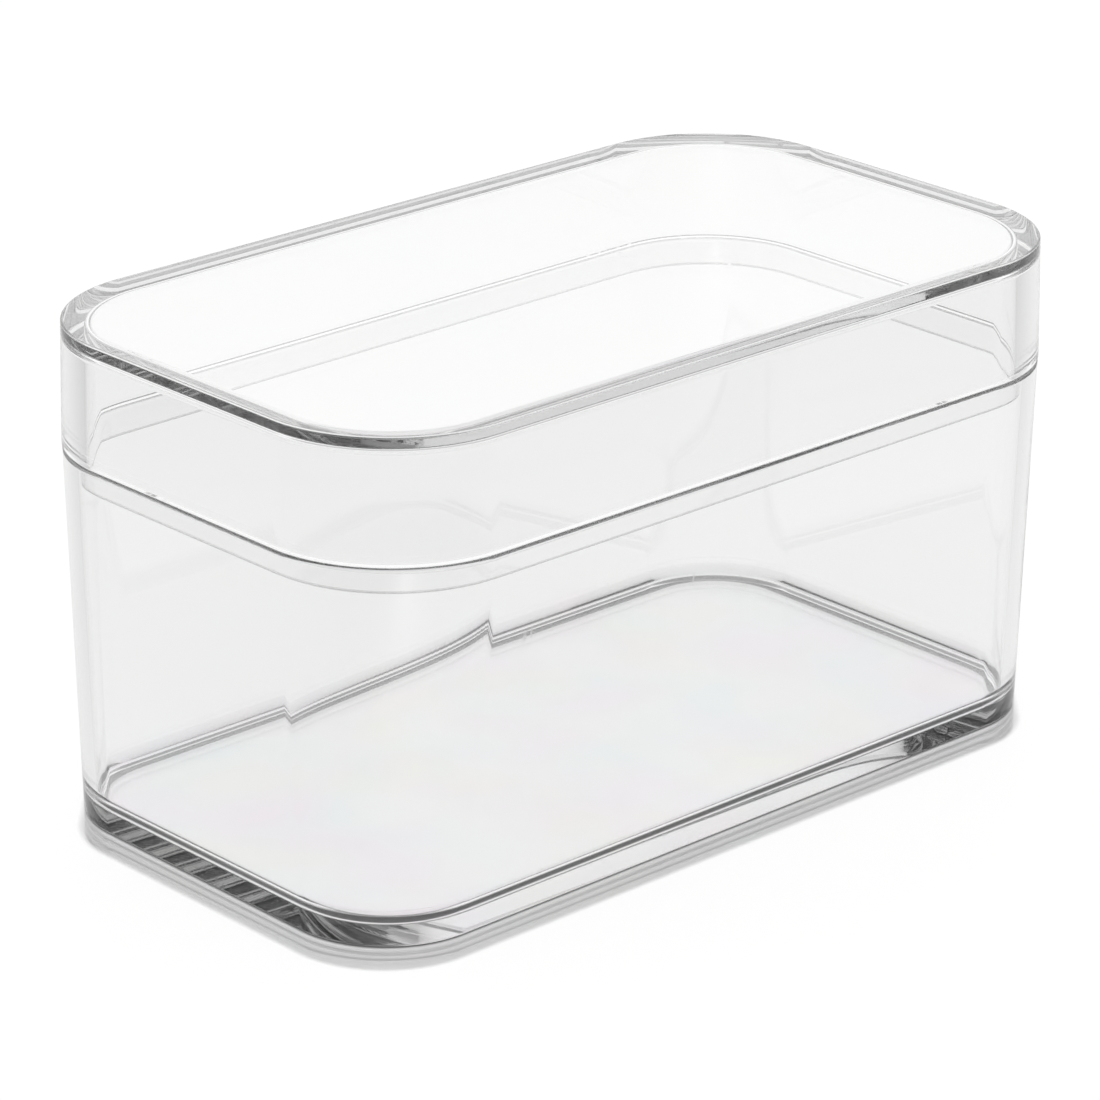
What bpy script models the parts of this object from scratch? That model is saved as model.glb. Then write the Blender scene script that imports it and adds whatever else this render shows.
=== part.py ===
"""Clear plastic keepsake box: a moulded container and a deep lid that lifts off it.

Metres, +Z up. The origin is the middle of the underside, and the long side lies along X.
The outline of the box is a rounded rectangle. Each piece is one flat face drawn out through a
list of sections, and the edges between the sections are then rounded.
"""

import math

import bmesh
import bpy

# The outline, measured at the seam where the lid meets the container
BOX_LENGTH = 0.175
BOX_WIDTH = 0.1017
CORNER_RADIUS = 0.0267
LEAST_CORNER_RADIUS = 0.0005

# The outline at the underside: how far the ends and the sides have moved inwards there
END_DRAFT = 0.0023
SIDE_DRAFT = 0.0042
UNDERSIDE_CORNER_RADIUS = 0.0200

# The container
CONTAINER_HEIGHT = 0.0697
CONTAINER_WALL = 0.0026
FLOOR_THICKNESS = 0.0026
RIM_INSET = 0.0001
UNDERSIDE_ROUNDING = 0.0006
FLOOR_FILLET = 0.0042
RIM_ROUNDING = 0.0008

# The lid
LID_HEIGHT = 0.0228
LID_DRAFT = 0.0005
TOP_THICKNESS = 0.0032
LIP_THICKNESS = 0.0012
LIP_DEPTH = 0.0054
TOP_ROUNDING = 0.0005
CEILING_FILLET = 0.0014
LID_EDGE_ROUNDING = 0.0003

# Room between the two pieces
SEAM_GAP = 0.0003
LIP_CLEARANCE = 0.0003

# Fineness of the round stretches
CORNER_STEPS = 12
ROUNDING_STEPS = 4

# Clear polystyrene
PLASTIC_COLOUR = (0.93, 0.94, 0.94, 1.0)
PLASTIC_ROUGHNESS = 0.03
PLASTIC_IOR = 1.57
SMOOTH_ANGLE = math.radians(40)


def clear_scene():
    for thing in list(bpy.data.objects):
        bpy.data.objects.remove(thing)


def outline(draft_share, inset, height):
    """Points of the rounded rectangle at a share of the draft, moved inwards by the inset."""
    radius_change = (UNDERSIDE_CORNER_RADIUS - CORNER_RADIUS) * draft_share
    radius = max(CORNER_RADIUS + radius_change - inset, LEAST_CORNER_RADIUS)
    centre_x = BOX_LENGTH / 2 - END_DRAFT * draft_share - inset - radius
    centre_y = BOX_WIDTH / 2 - SIDE_DRAFT * draft_share - inset - radius
    points = []
    for quarter, (side_x, side_y) in enumerate(((1, 1), (-1, 1), (-1, -1), (1, -1))):
        for step in range(CORNER_STEPS + 1):
            angle = (quarter + step / CORNER_STEPS) * math.pi / 2
            points.append(
                (
                    side_x * centre_x + radius * math.cos(angle),
                    side_y * centre_y + radius * math.sin(angle),
                    height,
                )
            )
    return points


def drawn_through(sections):
    """Closed mesh of one face drawn through the sections, and the largest rounding in them.

    A section is (draft share, inset, height, rounding). The edges of each section keep its
    rounding as a share of the largest one, in their bevel weight.
    """
    largest = max(rounding for draft_share, inset, height, rounding in sections)
    mesh = bmesh.new()
    weights = mesh.edges.layers.float.new("bevel_weight_edge")
    first = None
    face = None
    for draft_share, inset, height, rounding in sections:
        points = outline(draft_share, inset, height)
        if first is None:
            first = mesh.faces.new([mesh.verts.new(point) for point in points])
            face = first
        else:
            drawn = bmesh.ops.extrude_face_region(mesh, geom=[face])["geom"]
            # The first face closes the piece, and every face between two sections goes
            if face != first:
                bmesh.ops.delete(mesh, geom=[face], context="FACES_ONLY")
            face = next(item for item in drawn if isinstance(item, bmesh.types.BMFace))
            for vert, point in zip(face.verts, points):
                vert.co = point
        for edge in face.edges:
            edge[weights] = rounding / largest
    bmesh.ops.recalc_face_normals(mesh, faces=mesh.faces)
    return mesh, largest


def clear_plastic(name):
    material = bpy.data.materials.new(name)
    material.use_nodes = True
    shader = material.node_tree.nodes["Principled BSDF"]
    shader.inputs["Base Color"].default_value = PLASTIC_COLOUR
    shader.inputs["Roughness"].default_value = PLASTIC_ROUGHNESS
    shader.inputs["Metallic"].default_value = 0
    shader.inputs["Transmission Weight"].default_value = 1
    shader.inputs["IOR"].default_value = PLASTIC_IOR
    return material


def add_piece(name, sections, origin_height, collection):
    """One moulded piece with rounded edges, its origin on the upright middle line of the box."""
    drawn, largest = drawn_through(sections)
    mesh = bpy.data.meshes.new(name)
    drawn.to_mesh(mesh)
    drawn.free()
    mesh.shade_smooth()
    mesh.set_sharp_from_angle(angle=SMOOTH_ANGLE)
    mesh.materials.append(clear_plastic(name + "_plastic"))
    piece = bpy.data.objects.new(name, mesh)
    piece.location.z = origin_height
    collection.objects.link(piece)

    rounding = piece.modifiers.new("rounded edges", "BEVEL")
    rounding.limit_method = "WEIGHT"
    rounding.width = largest
    rounding.segments = ROUNDING_STEPS


def container_sections():
    """From the middle of the underside, up the outside, over the rim and down to the floor."""
    floor_share = 1 - FLOOR_THICKNESS / CONTAINER_HEIGHT
    wall_inset = RIM_INSET + CONTAINER_WALL
    return [
        (1, RIM_INSET, 0, UNDERSIDE_ROUNDING),
        (0, RIM_INSET, CONTAINER_HEIGHT, RIM_ROUNDING),
        (0, wall_inset, CONTAINER_HEIGHT, RIM_ROUNDING),
        (floor_share, wall_inset, FLOOR_THICKNESS, FLOOR_FILLET),
    ]


def lid_sections():
    """From the middle of the top, down the outside, round the lip and up to the ceiling.

    Heights are above the lid's own lower edge.
    """
    lip_outside = RIM_INSET + CONTAINER_WALL + LIP_CLEARANCE
    lip_inside = lip_outside + LIP_THICKNESS
    ceiling = LID_HEIGHT - TOP_THICKNESS
    lip_share = LIP_DEPTH / CONTAINER_HEIGHT
    return [
        (0, LID_DRAFT, LID_HEIGHT, TOP_ROUNDING),
        (0, 0, 0, LID_EDGE_ROUNDING),
        (0, lip_outside, 0, LID_EDGE_ROUNDING),
        (lip_share, lip_outside, -LIP_DEPTH, LID_EDGE_ROUNDING),
        (0, lip_inside, -LIP_DEPTH, LID_EDGE_ROUNDING),
        (0, lip_inside + LID_DRAFT, ceiling, CEILING_FILLET),
    ]


def main():
    clear_scene()
    box = bpy.data.collections.new("clear_rectangular_container")
    bpy.context.scene.collection.children.link(box)
    add_piece("container", container_sections(), 0, box)
    add_piece("lid", lid_sections(), CONTAINER_HEIGHT + SEAM_GAP, box)


main()
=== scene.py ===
"""Looks of the clear plastic keepsake box: fine clear mouldings on a glossy pale table.

Metres, +Z up, in the same frame as the solids. Both pieces are drawn through the sections that
their solids have, with finer roundings, and take the heights of the seam and the top from them.
"""

import math

import bmesh
import bpy
from mathutils import Matrix, Vector


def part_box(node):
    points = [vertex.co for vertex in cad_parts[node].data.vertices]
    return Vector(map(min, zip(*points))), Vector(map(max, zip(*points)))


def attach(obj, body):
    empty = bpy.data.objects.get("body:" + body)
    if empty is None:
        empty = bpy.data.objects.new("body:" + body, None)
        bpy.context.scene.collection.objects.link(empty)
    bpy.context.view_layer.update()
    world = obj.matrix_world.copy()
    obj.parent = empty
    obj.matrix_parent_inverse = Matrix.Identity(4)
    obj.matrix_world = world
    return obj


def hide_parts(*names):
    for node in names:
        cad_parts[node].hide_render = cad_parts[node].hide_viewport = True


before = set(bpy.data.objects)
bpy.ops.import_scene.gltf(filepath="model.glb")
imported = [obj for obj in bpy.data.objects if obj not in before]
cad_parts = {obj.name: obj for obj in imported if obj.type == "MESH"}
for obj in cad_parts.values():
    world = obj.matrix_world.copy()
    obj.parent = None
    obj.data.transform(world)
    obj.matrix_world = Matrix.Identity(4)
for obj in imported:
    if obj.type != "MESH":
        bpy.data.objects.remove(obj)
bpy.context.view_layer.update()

# The outline at the seam, and how far it moves inwards down to the underside
BOX_LENGTH = 0.175
BOX_WIDTH = 0.1017
CORNER_RADIUS = 0.0267
END_DRAFT = 0.0023
SIDE_DRAFT = 0.0042
UNDERSIDE_CORNER_RADIUS = 0.0200

# The container
CONTAINER_WALL = 0.0026
FLOOR_THICKNESS = 0.0026
RIM_INSET = 0.0001
UNDERSIDE_ROUNDING = 0.0006
FLOOR_FILLET = 0.0042
RIM_ROUNDING = 0.0008

# The lid
LID_DRAFT = 0.0005
TOP_THICKNESS = 0.0032
LIP_THICKNESS = 0.0012
LIP_DEPTH = 0.0054
LIP_CLEARANCE = 0.0003
LIP_ROUNDING = 0.0004
TOP_ROUNDING = 0.0005
CEILING_FILLET = 0.0014
LID_EDGE_ROUNDING = 0.0003

# Heights, read from the solids
CONTAINER_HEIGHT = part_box("container")[1].z
LIP_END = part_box("lid")[0].z
LID_EDGE = LIP_END + LIP_DEPTH
BOX_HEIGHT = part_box("lid")[1].z

# Fineness of the round stretches
CORNER_STEPS = 48
ROUNDING_STEPS = 8

# Clear polystyrene, and how much light a metre of it takes away
PLASTIC_COLOUR = Vector((1, 1, 1))
PLASTIC_IOR = 1.57
PLASTIC_DENSITY = 2.5
POLISHED_ROUGHNESS = 0.0
LIGHT_BOUNCES = 96

# Slow waves in the walls, left by the mould
WAVE_HEIGHT = 0.000001
WAVE_DETAIL = 1.0
CONTAINER_WAVE_LENGTH = 0.020
LID_WAVE_LENGTH = 0.016

# Fine scuffs from hands and tables, in patches, where the noise is under the values for gone
MARK_SIZE = 0.0016
MARK_STRETCH = (1, 1, 4)
MARK_DETAIL = 3.0
MARK_ROUGHNESS = 0.12
MARK_FULL = 0.34
MARK_GONE = 0.38
PATCH_SIZE = 0.02
PATCH_DETAIL = 2.0
PATCH_FULL = 0.36
PATCH_GONE = 0.44
CONTAINER_MARKS = 0.6
LID_MARKS = 0.8

# Faint coloured clouds where the plastic is strained: round the floor, and in the lid's top
CLOUD_SIZE = 0.022
CLOUD_DETAIL = 1.0
CLOUD_MIDDLE = Vector((0.45, 0.45, 0.45))
CONTAINER_CLOUDS = 0.16
CONTAINER_CLOUD_SPREAD = 0.010
LID_CLOUDS = 0.03
LID_CLOUD_SPREAD = 0.004

# Thin matte lines where the halves of the mould met, at the rim, and at the end of the lip; their
# darker colour is painted shade
EDGE_SHADE_CLEARNESS = 0.6
EDGE_ROUGHNESS = 0.06
RIM_LINE = 0.0002
LIP_LINE = 0.0004

# The foot, where the box stands on the table
FOOT_RADIUS = UNDERSIDE_CORNER_RADIUS - RIM_INSET
FOOT_HALF_LENGTH = BOX_LENGTH / 2 - END_DRAFT
FOOT_HALF_WIDTH = BOX_WIDTH / 2 - SIDE_DRAFT

# The camera, aimed from the middle of the seam
VIEW_AZIMUTH = math.radians(-42.716)
VIEW_ELEVATION = math.radians(21.665)
VIEW_ROLL = math.radians(0.163)
VIEW_DISTANCE = 0.80325
VIEW_TARGET = Vector((-0.07010, -0.07291, 0.00972))
SENSOR = 36
LENS = 163.915
NEAREST = 0.01

# The table
TABLE_HALF_SIZE = 3.0
TABLE_DROP = 0.0002
TABLE_COLOUR = (0.9, 0.9, 0.9, 1)
TABLE_ROUGHNESS = 0.3
TABLE_POLISH = 0.01

# How much of the table is shown by its own light, and that light: straight to the camera, through
# the plastic, lowered as painted shade close round the foot, under the box and in the shade, and
# painted to fall off sideways to the least
SHOWN_SHARE = 0.85
TABLE_SEEN = 1.05
TABLE_THROUGH = 0.96
TABLE_SHADE_ROUND_FOOT = 0.8
TABLE_SHADE_UNDER_BOX = 0.81
TABLE_SHADE = 0.34
TABLE_EDGE_SHADE = 0.05
TABLE_LEAST = 0.2

# How glossy the table is under the box and in the painted shade
GLOSS_UNDER = 0.12
GLOSS_SHADE = 0.45
GLOSS_EDGE_SHADE = 0.06

# The shade painted along the foot: how far it reaches under the box, and the steps that it is
# painted in
SHADE_INSIDE = 0.006
SHADE_SHIFTS = (0.0, 0.002, 0.004, 0.006, 0.008)
SHADE_SOFTNESS = 0.0008
EDGE_SHADE_WIDTH = 0.0008
AROUND_WIDTH = 0.003

# The studio, with heights as sines of the angle above the table
BEYOND = Vector((-math.sin(VIEW_AZIMUTH), math.cos(VIEW_AZIMUTH), 0))
WALL_LIGHT = 0.96
LAMP_LIGHT = 1.13
OVERHEAD_LIGHT = 0.65
LAMP_BOTTOM = 0.05
LAMP_MIDDLE = 0.40
LAMP_TOP = 0.50
OVERHEAD = 0.75
STUDIO_LEAST = 0.4
FAR_LIGHT_POWER = 2.0
LIGHT_CENTRE_BACK = 0.25


def outline_angles():
    """(side along X, side along Y, angle) of every point round the outline."""
    corners = ((1, 1), (-1, 1), (-1, -1), (1, -1))
    angles = []
    for quarter, (side_x, side_y) in enumerate(corners):
        for step in range(CORNER_STEPS + 1):
            angles.append((side_x, side_y, (quarter + step / CORNER_STEPS) * math.pi / 2))
    return angles


def outline(draft_share, inset, height):
    """Points of the rounded rectangle at a share of the draft, moved inwards by the inset."""
    radius = CORNER_RADIUS + (UNDERSIDE_CORNER_RADIUS - CORNER_RADIUS) * draft_share - inset
    centre_x = BOX_LENGTH / 2 - END_DRAFT * draft_share - inset - radius
    centre_y = BOX_WIDTH / 2 - SIDE_DRAFT * draft_share - inset - radius
    return [
        Vector(
            (
                side_x * centre_x + radius * math.cos(angle),
                side_y * centre_y + radius * math.sin(angle),
                height,
            )
        )
        for side_x, side_y, angle in outline_angles()
    ]


def rounded_corner(before, corner, after, rounding, normal_in, normal_out):
    """(point, normal) pairs along the arc that takes the place of one corner."""
    back = (before - corner).normalized()
    onward = (after - corner).normalized()
    half_angle = back.angle(onward) / 2
    centre = corner + (back + onward).normalized() * (rounding / math.sin(half_angle))
    tangent = rounding / math.tan(half_angle)
    first = (corner + back * tangent - centre).normalized()
    last = (corner + onward * tangent - centre).normalized()
    arc = []
    for step in range(ROUNDING_STEPS + 1):
        turn = step / ROUNDING_STEPS
        point = centre + first.slerp(last, turn) * rounding
        arc.append((point, normal_in.slerp(normal_out, turn)))
    return arc


def moulding(name, sections):
    """Smooth closed mesh drawn from the middle out through the sections and back to the middle.

    A section is (draft share, inset, height, rounding). Every normal is worked out, so that the
    flat walls bend light as flat walls do.
    """
    rows = [outline(*section[:3]) for section in sections]
    columns = []
    for index, (side_x, side_y, angle) in enumerate(outline_angles()):
        outwards = Vector((math.cos(angle), math.sin(angle), 0))
        along = Vector((-outwards.y, outwards.x, 0))
        corners = [row[index] for row in rows]
        middles = [corners[0] - outwards * BOX_WIDTH, corners[-1] - outwards * BOX_WIDTH]
        corners = middles[:1] + corners + middles[1:]
        normals = [along.cross(b - a).normalized() for a, b in zip(corners, corners[1:])]
        column = []
        for place, section in enumerate(sections):
            before, corner, after = corners[place:place + 3]
            normal_in, normal_out = normals[place:place + 2]
            column += rounded_corner(before, corner, after, section[3], normal_in, normal_out)
        columns.append(column)

    drawn = bmesh.new()
    rings = []
    normals = []
    for row in zip(*columns):
        rings.append([drawn.verts.new(point) for point, normal in row])
        normals += [normal for point, normal in row]
    drawn.faces.new(reversed(rings[0]))
    for lower, upper in zip(rings, rings[1:]):
        for index in range(len(lower)):
            after = (index + 1) % len(lower)
            drawn.faces.new((lower[index], lower[after], upper[after], upper[index]))
    drawn.faces.new(rings[-1])

    mesh = bpy.data.meshes.new(name)
    drawn.to_mesh(mesh)
    drawn.free()
    mesh.shade_smooth()
    mesh.normals_split_custom_set_from_vertices(normals)
    piece = bpy.data.objects.new(name, mesh)
    bpy.context.scene.collection.objects.link(piece)
    return piece


def container():
    """From the middle of the underside, up the outside, over the rim and down to the floor."""
    floor_share = 1 - FLOOR_THICKNESS / CONTAINER_HEIGHT
    wall_inset = RIM_INSET + CONTAINER_WALL
    return moulding(
        "clear_container",
        [
            (1, RIM_INSET, 0, UNDERSIDE_ROUNDING),
            (0, RIM_INSET, CONTAINER_HEIGHT, RIM_ROUNDING),
            (0, wall_inset, CONTAINER_HEIGHT, RIM_ROUNDING),
            (floor_share, wall_inset, FLOOR_THICKNESS, FLOOR_FILLET),
        ],
    )


def lid():
    """From the middle of the ceiling, down the inside, round the lip and up over the top."""
    lip_outside = RIM_INSET + CONTAINER_WALL + LIP_CLEARANCE
    lip_inside = lip_outside + LIP_THICKNESS
    lip_share = LIP_DEPTH / CONTAINER_HEIGHT
    return moulding(
        "clear_lid",
        [
            (0, lip_inside + LID_DRAFT, BOX_HEIGHT - TOP_THICKNESS, CEILING_FILLET),
            (0, lip_inside, LIP_END, LIP_ROUNDING),
            (lip_share, lip_outside, LIP_END, LIP_ROUNDING),
            (0, lip_outside, LID_EDGE, LID_EDGE_ROUNDING),
            (0, 0, LID_EDGE, LID_EDGE_ROUNDING),
            (0, LID_DRAFT, BOX_HEIGHT, TOP_ROUNDING),
        ],
    )


def add(tree, kind, **values):
    """A node with its plain settings, and a number or a colour for each named socket."""
    node = tree.nodes.new(kind)
    for name, value in values.items():
        if hasattr(node, name):
            setattr(node, name, value)
        else:
            node.inputs[name.replace("_", " ")].default_value = value
    return node


def feed(tree, socket, value):
    """Links a socket to another one, or sets it to a plain value."""
    if isinstance(value, bpy.types.NodeSocket):
        tree.links.new(value, socket)
    else:
        socket.default_value = value


def calculate(tree, operation, first, second=0.0):
    node = add(tree, "ShaderNodeMath", operation=operation)
    feed(tree, node.inputs[0], first)
    feed(tree, node.inputs[1], second)
    return node.outputs["Value"]


def calculate_vector(tree, operation, first, second=(0, 0, 0)):
    node = add(tree, "ShaderNodeVectorMath", operation=operation)
    feed(tree, node.inputs[0], first)
    feed(tree, node.inputs[1], second)
    return node.outputs["Value" if operation in ("LENGTH", "DOT_PRODUCT") else "Vector"]


def scaled(tree, vector, amount):
    node = add(tree, "ShaderNodeVectorMath", operation="SCALE")
    feed(tree, node.inputs["Vector"], vector)
    feed(tree, node.inputs["Scale"], amount)
    return node.outputs["Vector"]


def parts(tree, vector):
    """The X, Y and Z of a vector."""
    split = add(tree, "ShaderNodeSeparateXYZ")
    feed(tree, split.inputs["Vector"], vector)
    return split.outputs


def blend(tree, share, low, high):
    """The low value where the share is 0, and the high one where it is 1."""
    node = add(tree, "ShaderNodeMix", data_type="FLOAT")
    feed(tree, node.inputs["Factor"], share)
    feed(tree, node.inputs["A"], low)
    feed(tree, node.inputs["B"], high)
    return node.outputs["Result"]


def fade(tree, value, full, gone):
    """1 up to the full value, falling smoothly to 0 where it is gone."""
    node = add(tree, "ShaderNodeMapRange", interpolation_type="SMOOTHSTEP", To_Min=1, To_Max=0)
    feed(tree, node.inputs["Value"], value)
    feed(tree, node.inputs["From Min"], full)
    feed(tree, node.inputs["From Max"], gone)
    return node.outputs["Result"]


def noise(tree, place, size, stretch=(1, 1, 1), **values):
    """Noise with waves of a size in metres, drawn out along the axes by the stretch."""
    node = add(tree, "ShaderNodeTexNoise", **values)
    feed(tree, node.inputs["Vector"], calculate_vector(tree, "DIVIDE", place, stretch))
    feed(tree, node.inputs["Scale"], calculate(tree, "DIVIDE", 1.0, size))
    return node.outputs


def new_effect(name, inputs, output, kind="Float"):
    """An empty node group, its inputs, its one output and the place on the piece."""
    group = bpy.data.node_groups.new(name, "ShaderNodeTree")
    for socket, value in inputs.items():
        made = group.interface.new_socket(socket, in_out="INPUT", socket_type="NodeSocketFloat")
        made.default_value = value
    group.interface.new_socket(output, in_out="OUTPUT", socket_type="NodeSocket" + kind)
    given = group.nodes.new("NodeGroupInput").outputs
    wanted = group.nodes.new("NodeGroupOutput").inputs[output]
    place = add(group, "ShaderNodeTexCoord").outputs["Object"]
    return group, given, wanted, place


def use_effect(tree, name, **values):
    """The output of an effect that is placed in a material with its own values."""
    node = tree.nodes.new("ShaderNodeGroup")
    node.node_tree = bpy.data.node_groups[name]
    for socket, value in values.items():
        feed(tree, node.inputs[socket.replace("_", " ")], value)
    return node.outputs[0]


def mould_waves():
    """Height of the slow waves that a moulded wall keeps, from 0 to 1."""
    inputs = {"Wave Length": CONTAINER_WAVE_LENGTH}
    group, given, wanted, place = new_effect("mould_waves", inputs, "Height")
    feed(group, wanted, noise(group, place, given["Wave Length"], Detail=WAVE_DETAIL)["Fac"])


def handling_marks():
    """Mask of short upright scuffs, in patches where the box is held and set down."""
    inputs = {"Mark Size": MARK_SIZE, "Patch Size": PATCH_SIZE, "Amount": CONTAINER_MARKS}
    group, given, wanted, place = new_effect("handling_marks", inputs, "Mask")
    marks = noise(group, place, given["Mark Size"], stretch=MARK_STRETCH, Detail=MARK_DETAIL)
    patches = noise(group, place, given["Patch Size"], Detail=PATCH_DETAIL)
    marked = fade(group, marks["Fac"], MARK_FULL, MARK_GONE)
    handled = fade(group, patches["Fac"], PATCH_FULL, PATCH_GONE)
    handled = calculate(group, "MULTIPLY", marked, handled)
    feed(group, wanted, calculate(group, "MULTIPLY", handled, given["Amount"]))


def stress_clouds():
    """Faint pink, blue and yellow clouds in clear plastic, near one height of a piece."""
    inputs = {
        "Cloud Size": CLOUD_SIZE,
        "Strength": CONTAINER_CLOUDS,
        "Height": 0.0,
        "Spread": CONTAINER_CLOUD_SPREAD,
    }
    group, given, wanted, place = new_effect("stress_clouds", inputs, "Color", "Color")
    clouds = noise(group, place, given["Cloud Size"], Detail=CLOUD_DETAIL)["Color"]
    away = calculate(group, "SUBTRACT", parts(group, place)["Z"], given["Height"])
    near = fade(group, calculate(group, "ABSOLUTE", away), 0.0, given["Spread"])
    strength = calculate(group, "MULTIPLY", near, given["Strength"])
    tint = scaled(group, calculate_vector(group, "SUBTRACT", clouds, CLOUD_MIDDLE), strength)
    feed(group, wanted, calculate_vector(group, "SUBTRACT", PLASTIC_COLOUR, tint))


def mould_and_shade_line():
    """Mask of the thin line that the mould leaves round a piece at one height; the plastic is
    painted darker along it as shade.
    """
    inputs = {"Height": 0.0, "Width": RIM_LINE}
    group, given, wanted, place = new_effect("mould_and_shade_line", inputs, "Mask")
    away = calculate(group, "SUBTRACT", parts(group, place)["Z"], given["Height"])
    away = calculate(group, "ABSOLUTE", away)
    feed(group, wanted, calculate(group, "LESS_THAN", away, given["Width"]))


def clear_plastic(name, wave_length, marks, clouds, line):
    """Clear polystyrene. Light that runs along inside a wall or a floor slowly fades.

    The clouds are (strength, height, spread) and the mould line, matte and painted darker as shade,
    is (height, width).
    """
    material = bpy.data.materials.new(name)
    material.use_nodes = True
    tree = material.node_tree
    shader = tree.nodes["Principled BSDF"]
    shader.inputs["Metallic"].default_value = 0
    shader.inputs["Transmission Weight"].default_value = 1
    shader.inputs["IOR"].default_value = PLASTIC_IOR

    strength, height, spread = clouds
    tint = use_effect(
        tree,
        "stress_clouds",
        Cloud_Size=CLOUD_SIZE,
        Strength=strength,
        Height=height,
        Spread=spread,
    )
    height, width = line
    on_line = use_effect(tree, "mould_and_shade_line", Height=height, Width=width)
    # Painted shade: the colour is darker along the mould line
    colour = scaled(tree, tint, blend(tree, on_line, 1.0, EDGE_SHADE_CLEARNESS))
    feed(tree, shader.inputs["Base Color"], colour)

    marked = use_effect(
        tree, "handling_marks", Mark_Size=MARK_SIZE, Patch_Size=PATCH_SIZE, Amount=marks
    )
    rough = blend(tree, marked, POLISHED_ROUGHNESS, MARK_ROUGHNESS)
    feed(tree, shader.inputs["Roughness"], blend(tree, on_line, rough, EDGE_ROUGHNESS))

    bump = add(tree, "ShaderNodeBump", Strength=1.0, Distance=WAVE_HEIGHT)
    feed(tree, bump.inputs["Height"], use_effect(tree, "mould_waves", Wave_Length=wave_length))
    feed(tree, shader.inputs["Normal"], bump.outputs["Normal"])

    depth = add(tree, "ShaderNodeVolumeAbsorption", Color=(0, 0, 0, 1), Density=PLASTIC_DENSITY)
    feed(tree, tree.nodes["Material Output"].inputs["Volume"], depth.outputs["Volume"])
    return material


def mirrored(tree, path, times):
    """1 for light that was mirrored that many whole times or more on its way, and else 0."""
    return calculate(tree, "GREATER_THAN", path["Glossy Depth"], times - 0.5)


def far_light(tree, direction, least):
    """Light from 1 straight beyond the box, falling off sideways to the least."""
    flat = calculate_vector(tree, "MULTIPLY", direction, (1, 1, 0))
    flat = calculate_vector(tree, "NORMALIZE", flat)
    facing = calculate(tree, "MAXIMUM", calculate_vector(tree, "DOT_PRODUCT", flat, BEYOND), 0.0)
    return blend(tree, calculate(tree, "POWER", facing, FAR_LIGHT_POWER), least, 1.0)


def foot_distance(tree, shift):
    """Distance from the outline of the foot, moved towards the camera, below zero under the box."""
    place = add(tree, "ShaderNodeTexCoord").outputs["Object"]
    flat = calculate_vector(tree, "ADD", place, BEYOND * shift)
    flat = calculate_vector(tree, "ABSOLUTE", flat)
    flat = calculate_vector(tree, "MULTIPLY", flat, (1, 1, 0))
    corner = Vector((FOOT_HALF_LENGTH - FOOT_RADIUS, FOOT_HALF_WIDTH - FOOT_RADIUS, 0))
    past = calculate_vector(tree, "SUBTRACT", flat, corner)
    outside = calculate_vector(tree, "LENGTH", calculate_vector(tree, "MAXIMUM", past))
    past = parts(tree, past)
    inside = calculate(tree, "MINIMUM", calculate(tree, "MAXIMUM", past["X"], past["Y"]))
    from_centre = calculate(tree, "ADD", outside, inside)
    return calculate(tree, "SUBTRACT", from_centre, FOOT_RADIUS)


def painted_foot_shade(tree):
    """Masks of the painted shade: under the box, in front of it, at its inner edge, close round."""
    shade_under_box = foot_distance(tree, -SHADE_INSIDE)
    shade_under_box = fade(tree, shade_under_box, -SHADE_SOFTNESS, SHADE_SOFTNESS)
    front_shade = 0.0
    for shift in SHADE_SHIFTS:
        front_shade_step = foot_distance(tree, shift)
        front_shade_step = fade(tree, front_shade_step, -SHADE_SOFTNESS, SHADE_SOFTNESS)
        front_shade = calculate(tree, "MAXIMUM", front_shade_step, front_shade)
    front_shade = calculate(tree, "MULTIPLY", front_shade, calculate(tree, "SUBTRACT", 1.0, shade_under_box))
    distance = foot_distance(tree, 0.0)
    shade_edge = fade(tree, distance, -EDGE_SHADE_WIDTH, 0.0)
    shade_round_foot = fade(tree, distance, 0.0, AROUND_WIDTH)
    return shade_under_box, front_shade, shade_edge, shade_round_foot


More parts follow.
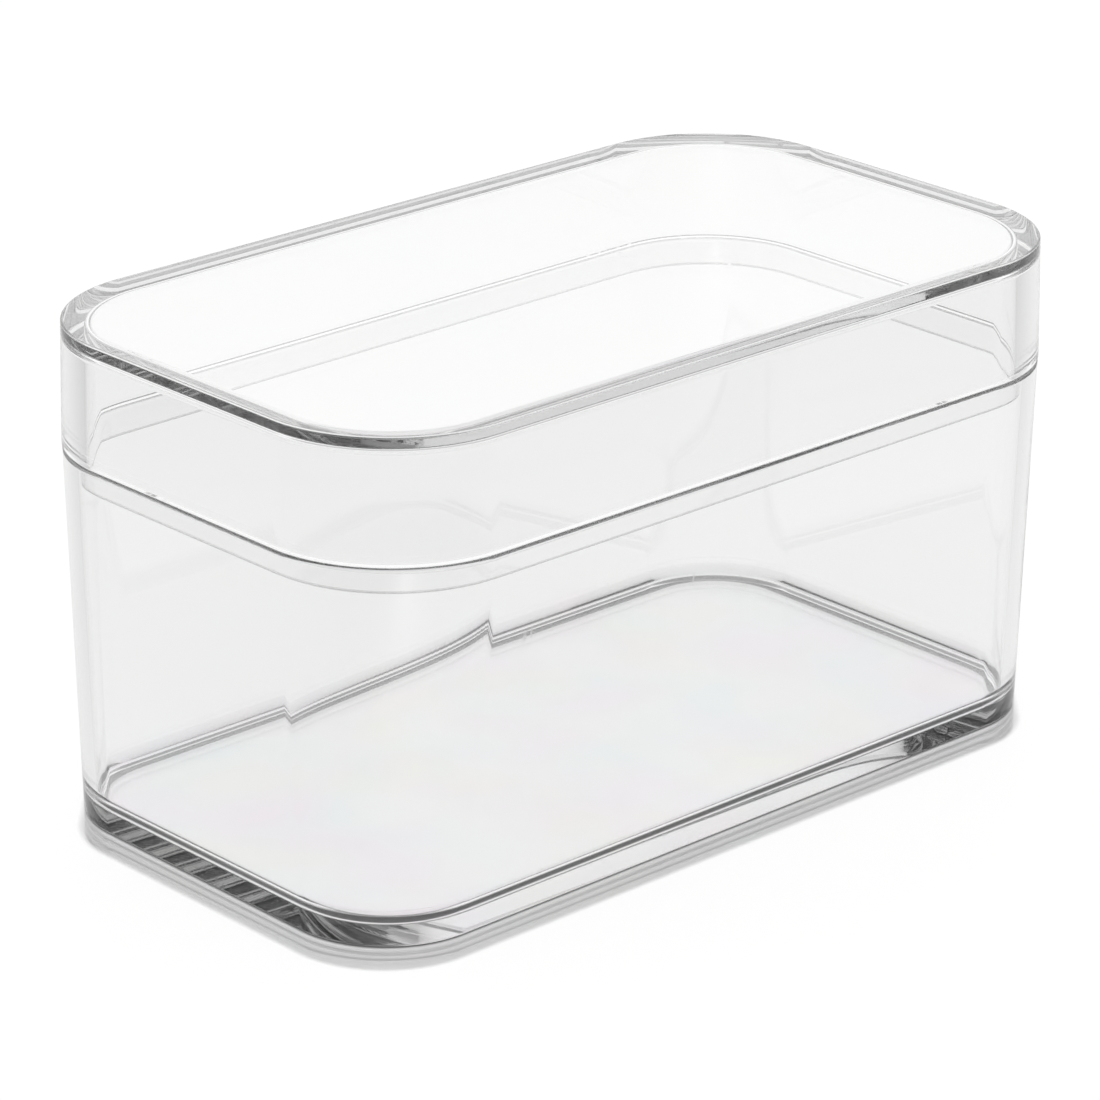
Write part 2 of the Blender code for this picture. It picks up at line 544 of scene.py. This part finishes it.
def table_top():
    """Glossy pale table that stays white, with a soft shade painted where the box stands on it."""
    material = bpy.data.materials.new("table_top")
    material.use_nodes = True
    tree = material.node_tree
    tree.nodes.clear()
    path = add(tree, "ShaderNodeLightPath").outputs
    seen = calculate(tree, "MAXIMUM", path["Is Glossy Ray"], path["Is Transmission Ray"])
    seen = calculate(tree, "MAXIMUM", path["Is Camera Ray"], seen)
    shade_under_box, front_shade, shade_edge, shade_round_foot = painted_foot_shade(tree)

    place = add(tree, "ShaderNodeNewGeometry").outputs["Position"]
    direction = calculate_vector(tree, "ADD", place, BEYOND * LIGHT_CENTRE_BACK)
    # Painted light: to mirrored rays the table is brightest beyond the box, and its light falls off
    # sideways
    side_lit = calculate(tree, "MULTIPLY", far_light(tree, direction, TABLE_LEAST), TABLE_THROUGH)
    # Painted shade: the table's own light is lowered close round the foot, under the box and in
    # front of it, darkest at its inner edge
    bare = blend(tree, shade_round_foot, TABLE_THROUGH, TABLE_SHADE_ROUND_FOOT)
    bare = blend(tree, mirrored(tree, path, 1), bare, side_lit)
    bare = blend(tree, path["Is Camera Ray"], bare, TABLE_SEEN)
    light = blend(tree, shade_under_box, bare, TABLE_SHADE_UNDER_BOX)
    light = blend(tree, front_shade, light, blend(tree, shade_edge, TABLE_SHADE, TABLE_EDGE_SHADE))
    glow = add(tree, "ShaderNodeEmission")
    feed(tree, glow.inputs["Strength"], light)

    gloss = blend(tree, shade_under_box, 0.0, GLOSS_UNDER)
    gloss = blend(tree, front_shade, gloss, blend(tree, shade_edge, GLOSS_SHADE, GLOSS_EDGE_SHADE))
    unlit = add(tree, "ShaderNodeEmission", Strength=0)
    mirror = add(tree, "ShaderNodeBsdfAnisotropic", Roughness=TABLE_POLISH)
    shine = add(tree, "ShaderNodeMixShader")
    feed(tree, shine.inputs["Fac"], gloss)
    feed(tree, shine.inputs[1], unlit.outputs["Emission"])
    feed(tree, shine.inputs[2], mirror.outputs["BSDF"])
    shown = add(tree, "ShaderNodeAddShader")
    feed(tree, shown.inputs[0], glow.outputs["Emission"])
    feed(tree, shown.inputs[1], shine.outputs["Shader"])

    surface = add(
        tree, "ShaderNodeBsdfPrincipled", Base_Color=TABLE_COLOUR, Roughness=TABLE_ROUGHNESS
    )
    whole = add(tree, "ShaderNodeMixShader")
    feed(tree, whole.inputs["Fac"], calculate(tree, "MULTIPLY", seen, SHOWN_SHARE))
    feed(tree, whole.inputs[1], surface.outputs["BSDF"])
    feed(tree, whole.inputs[2], shown.outputs["Shader"])
    out = add(tree, "ShaderNodeOutputMaterial")
    feed(tree, out.inputs["Surface"], whole.outputs["Shader"])
    return material


def table():
    drawn = bmesh.new()
    bmesh.ops.create_grid(drawn, x_segments=1, y_segments=1, size=TABLE_HALF_SIZE)
    mesh = bpy.data.meshes.new("table")
    drawn.to_mesh(mesh)
    drawn.free()
    mesh.materials.append(table_top())
    sheet = bpy.data.objects.new("table", mesh)
    sheet.location.z = -TABLE_DROP
    bpy.context.scene.collection.objects.link(sheet)


def studio():
    """White surroundings, brightest at the height of the lamps and dimmer overhead."""
    world = bpy.data.worlds.new("studio")
    bpy.context.scene.world = world
    world.use_nodes = True
    tree = world.node_tree
    path = add(tree, "ShaderNodeLightPath").outputs
    direction = add(tree, "ShaderNodeTexCoord").outputs["Generated"]
    height = parts(tree, direction)["Z"]
    walls = fade(tree, height, LAMP_BOTTOM, LAMP_MIDDLE)
    light = blend(tree, walls, LAMP_LIGHT, WALL_LIGHT)
    light = blend(tree, fade(tree, height, LAMP_TOP, OVERHEAD), OVERHEAD_LIGHT, light)
    side_lit = calculate(tree, "MULTIPLY", light, far_light(tree, direction, STUDIO_LEAST))
    light = blend(tree, mirrored(tree, path, 2), light, side_lit)
    plain = calculate(tree, "MAXIMUM", path["Is Camera Ray"], path["Is Diffuse Ray"])
    background = tree.nodes["Background"]
    background.inputs["Color"].default_value = (1, 1, 1, 1)
    feed(tree, background.inputs["Strength"], blend(tree, plain, light, 1.0))


def camera():
    back = Vector(
        (
            math.sin(VIEW_AZIMUTH) * math.cos(VIEW_ELEVATION),
            -math.cos(VIEW_AZIMUTH) * math.cos(VIEW_ELEVATION),
            math.sin(VIEW_ELEVATION),
        )
    )
    right = Vector((math.cos(VIEW_AZIMUTH), math.sin(VIEW_AZIMUTH), 0))
    turned = Matrix((right, back.cross(right), back)).transposed()
    turned = (turned @ Matrix.Rotation(VIEW_ROLL, 3, "Z")).to_4x4()
    seam = Vector((0, 0, (CONTAINER_HEIGHT + LID_EDGE) / 2))
    lens = bpy.data.cameras.new("camera")
    lens.sensor_width = SENSOR
    lens.lens = LENS
    lens.clip_start = NEAREST
    stand = bpy.data.objects.new("camera", lens)
    stand.matrix_world = Matrix.Translation(seam + VIEW_TARGET + back * VIEW_DISTANCE) @ turned
    bpy.context.scene.collection.objects.link(stand)
    bpy.context.scene.camera = stand


def dress(piece, node, plastic):
    """Puts the clear piece in the place of its solid."""
    piece.data.materials.append(plastic)
    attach(piece, node)
    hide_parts(node)


def main():
    """Dresses the two pieces and sets them on the table."""
    mould_waves()
    handling_marks()
    stress_clouds()
    mould_and_shade_line()
    container_plastic = clear_plastic(
        "container_clear_plastic",
        CONTAINER_WAVE_LENGTH,
        CONTAINER_MARKS,
        clouds=(CONTAINER_CLOUDS, 0, CONTAINER_CLOUD_SPREAD),
        line=(CONTAINER_HEIGHT, RIM_LINE),
    )
    lid_plastic = clear_plastic(
        "lid_clear_plastic",
        LID_WAVE_LENGTH,
        LID_MARKS,
        clouds=(LID_CLOUDS, BOX_HEIGHT, LID_CLOUD_SPREAD),
        line=(LIP_END, LIP_LINE),
    )
    dress(container(), "container", container_plastic)
    dress(lid(), "lid", lid_plastic)
    table()
    studio()
    camera()

    scene = bpy.context.scene
    scene.view_settings.view_transform = "Standard"
    scene.cycles.max_bounces = LIGHT_BOUNCES
    scene.cycles.transmission_bounces = LIGHT_BOUNCES
    scene.cycles.glossy_bounces = LIGHT_BOUNCES


main()
